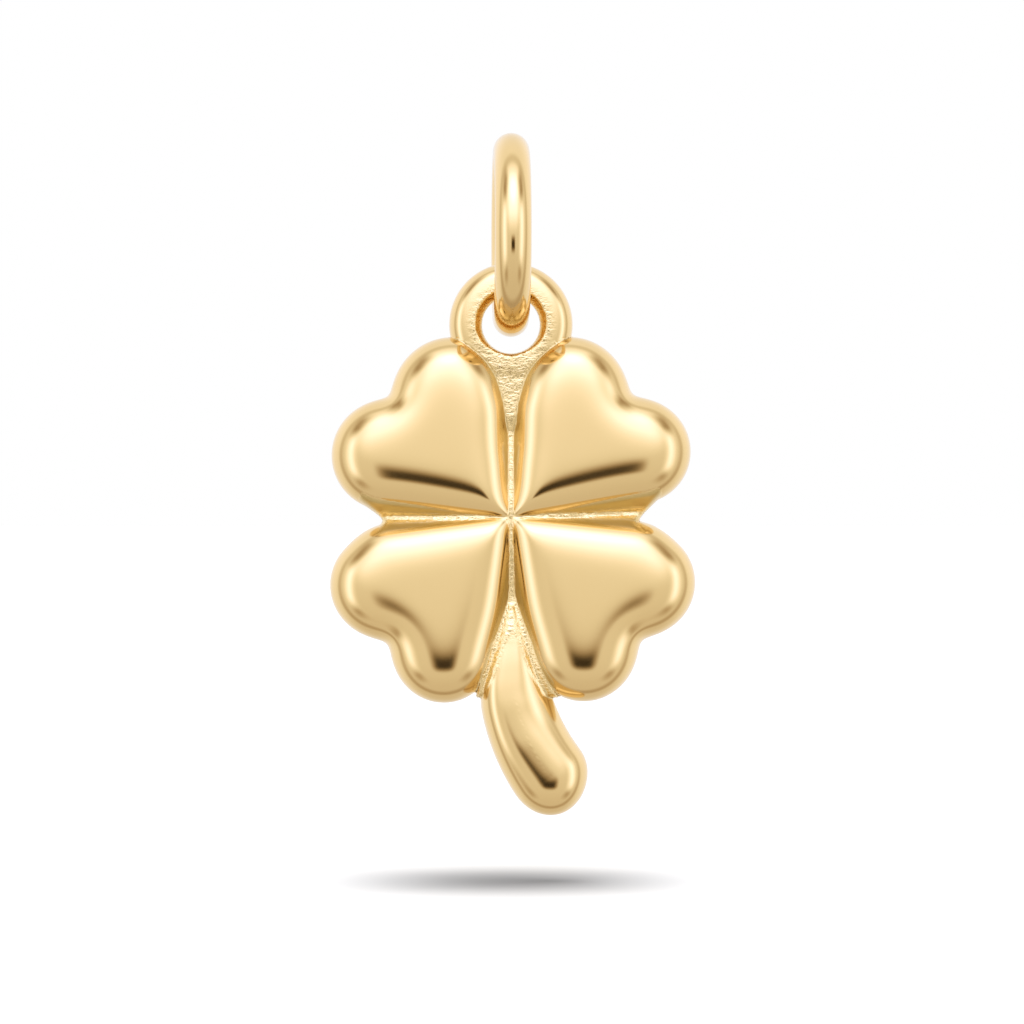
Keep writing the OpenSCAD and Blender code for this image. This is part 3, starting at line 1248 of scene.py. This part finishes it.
@dataclass
class JumpRing:
    """Round wire ring that hangs edge on to the front. Lengths in millimetres."""

    inner_r: float = 1.825
    wire_r: float = 0.4975
    turn_deg: float = 1.6
    sides: int = 224
    wire_sides: int = 72
    finish: CastGold = CastGold("ring_gold_finish", has_grain=False)

    def build(self) -> bpy.types.Object:
        """Build and dress the ring.

        Returns:
            The piece, riding on its body in place of the plain node.
        """
        axis = Vector((math.cos(math.radians(self.turn_deg)),
                       math.sin(math.radians(self.turn_deg)), 0.0))
        level = Vector((-axis.y, axis.x, 0.0))
        up = Vector((0.0, 0.0, 1.0))
        centre = Vector((0.0, 0.0, -self.inner_r))
        middle_r = self.inner_r + self.wire_r
        mesh = bmesh.new()
        rings = []
        for i in range(self.sides):
            a = math.tau * i / self.sides
            out = level * math.cos(a) + up * math.sin(a)
            ring = []
            for k in range(self.wire_sides):
                b = math.tau * k / self.wire_sides
                spot = centre + out * (middle_r + self.wire_r * math.cos(b))
                ring.append(mesh.verts.new((spot + axis * self.wire_r * math.sin(b)) * MM))
            rings.append(ring)
        for i in range(self.sides):
            here, after = rings[i], rings[(i + 1) % self.sides]
            for k in range(self.wire_sides):
                n = (k + 1) % self.wire_sides
                mesh.faces.new((here[k], after[k], after[n], here[n])).smooth = True
        bmesh.ops.recalc_face_normals(mesh, faces=mesh.faces)
        data = bpy.data.meshes.new("jump_ring_wire")
        mesh.to_mesh(data)
        mesh.free()
        piece = bpy.data.objects.new("jump_ring_wire", data)
        bpy.context.scene.collection.objects.link(piece)
        data.materials.append(self.finish.make())
        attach(piece, Body.RING.value)
        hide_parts("jump_ring")
        log.info("%s: %d points", piece.name, len(data.vertices))
        return piece


# Studio


@dataclass(frozen=True)
class Panel:
    """A soft panel in the surroundings: it adds light, or takes it away if strength is negative.

    Angles in degrees: azimuth to the right of the camera's side, elevation above the horizon.
    """

    azimuth: float
    elevation: float
    half_w: float
    half_h: float
    edge: float
    strength: float

    def light(self, sheet: NodeSheet, way: Value) -> Value:
        """Add the panel's light in a direction.

        Args:
            sheet: The surroundings' node sheet.
            way: The direction looked in.

        Returns:
            The light to add.
        """
        a, e = math.radians(self.azimuth), math.radians(self.elevation)
        ahead = Vector((math.sin(a) * math.cos(e), -math.cos(a) * math.cos(e), math.sin(e)))
        right = Vector((math.cos(a), math.sin(a), 0.0))
        over = ahead.cross(right)
        depth = sheet.dot(way, ahead)
        aside = abs(sheet.maths("ARCTAN2", sheet.dot(way, right), depth))
        above = abs(sheet.maths("ARCTAN2", sheet.dot(way, over), depth))
        reach_w, reach_h = math.radians(self.half_w), math.radians(self.half_h)
        soft = math.radians(self.edge)
        return (aside.eased(reach_w + soft, reach_w - soft)
                * above.eased(reach_h + soft, reach_h - soft) * self.strength)


def mirrored(azimuth: float, *others: float) -> tuple[Panel, Panel]:
    """Hang a panel on both sides of the camera.

    Args:
        azimuth: The right one's azimuth.
        others: What the panels have in common, in the order of their fields.

    Returns:
        The left panel and the right one.
    """
    return Panel(-azimuth, *others), Panel(azimuth, *others)


@dataclass
class Studio:
    """Pale floor with a painted shadow, soft surroundings, a lamp overhead for the floor's real
    shadow, and the camera.

    Lengths in millimetres and angles in degrees, but the floor's size and the lamp's height are
    in metres.
    """

    floor_z: float = -19.76
    floor_size: float = 4.0
    lens: float = 105.0
    sensor: float = 36.0
    distance: float = 82.97
    aim_x: float = 0.03
    aim_z: float = -9.514
    clip: tuple[float, float] = (1.0, 10000.0)
    lamp_energy: float = 1.9
    lamp_angle: float = 44.0
    lamp_height: float = 0.3
    ambient: float = 0.88
    floor_ambient: float = 0.6
    sky_gain: float = 0.15
    # Tints of dim, even and bright light, and the strengths between which they change
    dim_tint: Colour = (1.0, 0.72, 0.42, 1.0)
    even_tint: Colour = (1.0, 1.0, 1.03, 1.0)
    bright_tint: Colour = (0.92, 1.02, 1.75, 1.0)
    even_from: tuple[float, float] = (0.1, 1.0)
    bright_from: tuple[float, float] = (0.8, 2.2)
    panels: Sequence[Panel] = (
        Panel(0.0, 41.0, 33.0, 32.0, 17.0, 0.68),
        Panel(0.0, 47.0, 14.0, 12.0, 14.0, 0.5),
        *mirrored(135.0, 0.0, 35.0, 40.0, 22.0, 0.17),
        *mirrored(56.0, -1.0, 12.0, 27.0, 13.0, 0.66),
        Panel(0.0, -15.0, 10.5, 7.4, 5.0, -0.8),
        *mirrored(62.0, 44.0, 12.0, 14.0, 10.0, -0.55),
        *mirrored(55.0, -40.0, 9.0, 9.0, 9.0, -0.25),
    )
    # A dark seam goes all the way round in the plane of the charm's rim, just behind it
    seam: float = -0.22
    seam_shift: float = 0.02
    seam_edges: tuple[float, float] = (0.22, 0.02)

    def surroundings(self) -> None:
        """Make the world: white to the camera, soft panels to everything else."""
        world = bpy.data.worlds.new("studio")
        bpy.context.scene.world = world
        world.use_nodes = True
        sheet = NodeSheet(world.node_tree)
        way = sheet.add("ShaderNodeTexCoord", output="Generated")
        light = sheet.dot(way, Vector((0.0, 0.0, self.sky_gain))) + self.ambient
        for panel in self.panels:
            light = light + panel.light(sheet, way)
        ahead = abs(sheet.dot(way, Vector((0.0, -1.0, 0.0))) + self.seam_shift)
        seam = ahead.eased(*self.seam_edges) * self.seam
        light = (light + seam).maths("MAXIMUM", 0.0)
        tint = sheet.mixed(light.eased(*self.even_from), self.dim_tint, self.even_tint)
        tint = sheet.mixed(light.eased(*self.bright_from), tint, self.bright_tint)
        seen = sheet.add("ShaderNodeLightPath", output="Is Camera Ray")
        matt = sheet.add("ShaderNodeLightPath", output="Is Diffuse Ray")
        light = light + matt * (self.floor_ambient - light)
        tint = sheet.mixed(matt, tint, WHITE)
        soft = sheet.add("ShaderNodeBackground", {}, {"Color": tint, "Strength": light})
        white = sheet.add("ShaderNodeBackground", {}, {"Color": WHITE})
        both = sheet.add("ShaderNodeMixShader", {}, {"0": seen, "1": soft, "2": white})
        sheet.add("ShaderNodeOutputWorld", {}, {"Surface": both})

    def floor(self) -> bpy.types.Object:
        """Lay the floor below the charm.

        Returns:
            The floor, which is staging.
        """
        half, z = self.floor_size / 2.0, self.floor_z * MM
        data = bpy.data.meshes.new("floor")
        data.from_pydata([(-half, -half, z), (half, -half, z), (half, half, z), (-half, half, z)],
                         [], [(0, 1, 2, 3)])
        piece = bpy.data.objects.new("floor", data)
        bpy.context.scene.collection.objects.link(piece)
        data.materials.append(Paper("floor_paper_painted_shadow").make())
        piece.visible_glossy = False
        return piece

    def lamp(self) -> None:
        """Hang the broad lamp overhead that casts the soft shadow on the floor."""
        data = bpy.data.lights.new("overhead", "SUN")
        data.energy = self.lamp_energy
        data.angle = math.radians(self.lamp_angle)
        lamp = bpy.data.objects.new("overhead", data)
        lamp.location = (0.0, 0.0, self.lamp_height)
        lamp.visible_glossy = False
        bpy.context.scene.collection.objects.link(lamp)

    def camera(self) -> bpy.types.Object:
        """Place the camera level with the charm, as the photograph has it.

        Returns:
            The camera.
        """
        data = bpy.data.cameras.new("camera")
        data.lens = self.lens
        data.sensor_width = self.sensor
        data.clip_start, data.clip_end = (end * MM for end in self.clip)
        camera = bpy.data.objects.new("camera", data)
        camera.location = (self.aim_x * MM, -self.distance * MM, self.aim_z * MM)
        camera.rotation_euler = (math.pi / 2.0, 0.0, 0.0)
        bpy.context.scene.collection.objects.link(camera)
        bpy.context.scene.camera = camera
        return camera

    def build(self) -> None:
        """Set up everything around the charm."""
        self.camera()
        self.surroundings()
        self.floor()
        self.lamp()
        bpy.context.scene.view_settings.view_transform = "Standard"
        log.info("studio: floor at %.2f mm", self.floor_z)


def main() -> None:
    """Build the charm and the studio around it."""
    logging.basicConfig(level=logging.INFO, format="%(name)s: %(message)s")
    Studio().build()
    JumpRing().build()
    CloverCasting().build()


if __name__ == "__main__":
    main()
